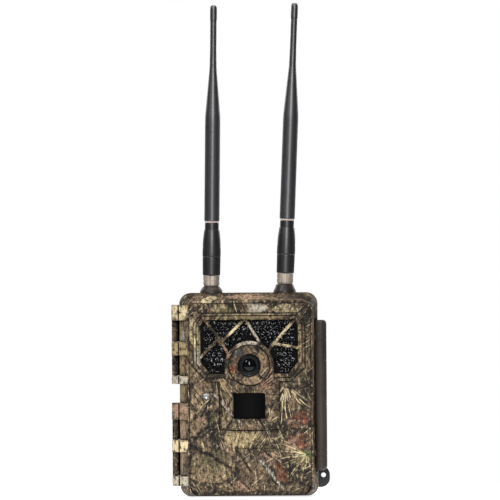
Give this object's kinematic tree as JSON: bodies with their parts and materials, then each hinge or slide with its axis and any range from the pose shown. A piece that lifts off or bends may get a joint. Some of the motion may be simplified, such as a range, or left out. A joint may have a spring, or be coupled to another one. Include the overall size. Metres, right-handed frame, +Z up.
{
  "type": "trail camera",
  "caption": "Camouflaged trail camera: hinged two-part housing, lens and infrared window, motion sensor, side latch and folding whip antennas.",
  "frame": {"origin": "centre of the bounding box in X and Y, on the plane the housing stands on", "axes": "+Z up along the antennas, +Y out of the back towards the tree, +X towards the latch side"},
  "size_m": [0.109, 0.076, 0.3415],
  "materials": {
    "camo_plastic": "moulded plastic dipped in a woodland camouflage film",
    "black_plastic": "satin black moulded plastic",
    "latch_plastic": "dark brown satin plastic",
    "antenna_plastic": "satin black soft plastic",
    "smoked_acrylic": "polished infrared-pass acrylic",
    "pir_plastic": "dark Fresnel plastic",
    "clear_plastic": "clear domed plastic",
    "ring_plastic": "pale plastic",
    "nickel": "nickel plate",
    "steel": "bare steel",
    "brass": "turned brass",
    "lens_glass": "coated optical glass",
    "pcb": "green circuit board",
    "led_pcb": "black circuit board with infrared lamps",
    "rubber": "soft rubber",
    "cell_jacket": "printed cell jacket",
    "tray_plastic": "black moulded plastic",
    "screen": "display glass",
    "button_rubber": "soft-touch keys",
    "card_plastic": "moulded card"
  },
  "bodies": {
    "rear": {"rear_housing": "camo_plastic", "tripod_insert": "brass", "gasket": "rubber", "battery_tray": "tray_plastic", "aa_cell_1": "cell_jacket", "aa_cell_2": "cell_jacket", "aa_cell_3": "cell_jacket", "aa_cell_4": "cell_jacket", "aa_cell_5": "cell_jacket", "aa_cell_6": "cell_jacket", "aa_cell_7": "cell_jacket", "aa_cell_8": "cell_jacket", "contact_strip_bottom": "steel", "contact_strip_top": "steel", "hinge_pin_upper": "steel", "hinge_pin_lower": "steel"},
    "dc_plug": {"dc_port_plug": "rubber"},
    "front": {"front_housing": "camo_plastic", "face_plate": "camo_plastic", "front_bezel": "camo_plastic", "led_cover": "smoked_acrylic", "led_board": "led_pcb", "lens_ring": "camo_plastic", "lens_barrel": "black_plastic", "lens_glass": "lens_glass", "image_sensor": "black_plastic", "pir_lens": "pir_plastic", "pir_sensor": "steel", "indicator_lens": "clear_plastic", "main_board": "pcb", "control_panel": "tray_plastic", "lcd_screen": "screen", "panel_screw_1": "steel", "panel_screw_2": "steel", "panel_screw_3": "steel", "panel_screw_4": "steel", "latch_pin": "steel", "antenna_socket_left": "nickel", "antenna_socket_right": "nickel"},
    "latch": {"latch_lever": "latch_plastic"},
    "ir_filter": {"ir_cut_filter": "black_plastic"},
    "mode_slider": {"mode_switch": "black_plastic"},
    "memory_card": {"sd_card": "card_plastic"},
    "network_card": {"sim_card": "card_plastic"},
    "key_menu": {"button_menu": "button_rubber"},
    "key_up": {"button_up": "button_rubber"},
    "key_left": {"button_left": "button_rubber"},
    "key_ok": {"button_ok": "button_rubber"},
    "key_right": {"button_right": "button_rubber"},
    "key_down": {"button_down": "button_rubber"},
    "nut_left": {"antenna_nut_left": "nickel"},
    "swivel_left": {"antenna_base_left": "antenna_plastic", "antenna_pin_left": "steel"},
    "whip_left": {"antenna_whip_left": "antenna_plastic", "antenna_ring_left": "ring_plastic"},
    "nut_right": {"antenna_nut_right": "nickel"},
    "swivel_right": {"antenna_base_right": "antenna_plastic", "antenna_pin_right": "steel"},
    "whip_right": {"antenna_whip_right": "antenna_plastic", "antenna_ring_right": "ring_plastic"}
  },
  "joints": [
    {"name": "door_hinge", "type": "hinge", "parent": "rear", "child": "front", "pos_m": [-0.0519, -0.0015, 0.07], "axis": [0, 0, -1], "range_deg": [0, 170]},
    {"name": "latch_pivot", "type": "hinge", "parent": "front", "child": "latch", "pos_m": [0.04845, -0.0268, 0.07], "axis": [0, 0, -1], "range_deg": [0, 110]},
    {"name": "nut_spin_left", "type": "hinge", "parent": "front", "child": "nut_left", "pos_m": [-0.0268, -0.014, 0.141], "axis": [0.0148, 0, 0.9999], "continuous": true},
    {"name": "antenna_swivel_left", "type": "hinge", "parent": "front", "child": "swivel_left", "pos_m": [-0.0268, -0.014, 0.141], "axis": [0.0148, 0, 0.9999], "range_deg": [0, 180]},
    {"name": "antenna_tilt_left", "type": "hinge", "parent": "swivel_left", "child": "whip_left", "pos_m": [-0.02633, -0.014, 0.173], "axis": [-0.9999, 0, 0.0148], "range_deg": [0, 90]},
    {"name": "nut_spin_right", "type": "hinge", "parent": "front", "child": "nut_right", "pos_m": [0.024, -0.014, 0.1423], "axis": [0.0419, 0, 0.9991], "continuous": true},
    {"name": "antenna_swivel_right", "type": "hinge", "parent": "front", "child": "swivel_right", "pos_m": [0.024, -0.014, 0.1423], "axis": [0.0419, 0, 0.9991], "range_deg": [-180, 0]},
    {"name": "antenna_tilt_right", "type": "hinge", "parent": "swivel_right", "child": "whip_right", "pos_m": [0.02534, -0.014, 0.17427], "axis": [-0.9991, 0, 0.0419], "range_deg": [0, 90]},
    {"name": "press_menu", "type": "slide", "parent": "front", "child": "key_menu", "axis": [0, -1, 0], "range_m": [0, 0.0006], "stiffness_N_per_m": 1500},
    {"name": "press_up", "type": "slide", "parent": "front", "child": "key_up", "axis": [0, -1, 0], "range_m": [0, 0.0006], "stiffness_N_per_m": 1500},
    {"name": "press_left", "type": "slide", "parent": "front", "child": "key_left", "axis": [0, -1, 0], "range_m": [0, 0.0006], "stiffness_N_per_m": 1500},
    {"name": "press_ok", "type": "slide", "parent": "front", "child": "key_ok", "axis": [0, -1, 0], "range_m": [0, 0.0006], "stiffness_N_per_m": 1500},
    {"name": "press_right", "type": "slide", "parent": "front", "child": "key_right", "axis": [0, -1, 0], "range_m": [0, 0.0006], "stiffness_N_per_m": 1500},
    {"name": "press_down", "type": "slide", "parent": "front", "child": "key_down", "axis": [0, -1, 0], "range_m": [0, 0.0006], "stiffness_N_per_m": 1500},
    {"name": "mode_slide", "type": "slide", "parent": "front", "child": "mode_slider", "axis": [1, 0, 0], "range_m": [0, 0.006]},
    {"name": "memory_card_slide", "type": "slide", "parent": "front", "child": "memory_card", "axis": [0, 0, -1], "range_m": [0, 0.02]},
    {"name": "network_card_slide", "type": "slide", "parent": "front", "child": "network_card", "axis": [0, 0, -1], "range_m": [0, 0.018]},
    {"name": "ir_filter_slide", "type": "slide", "parent": "front", "child": "ir_filter", "axis": [1, 0, 0], "range_m": [0, 0.009]},
    {"name": "dc_plug_pull", "type": "slide", "parent": "rear", "child": "dc_plug", "axis": [1, 0, 0], "range_m": [0, 0.009]}
  ]
}
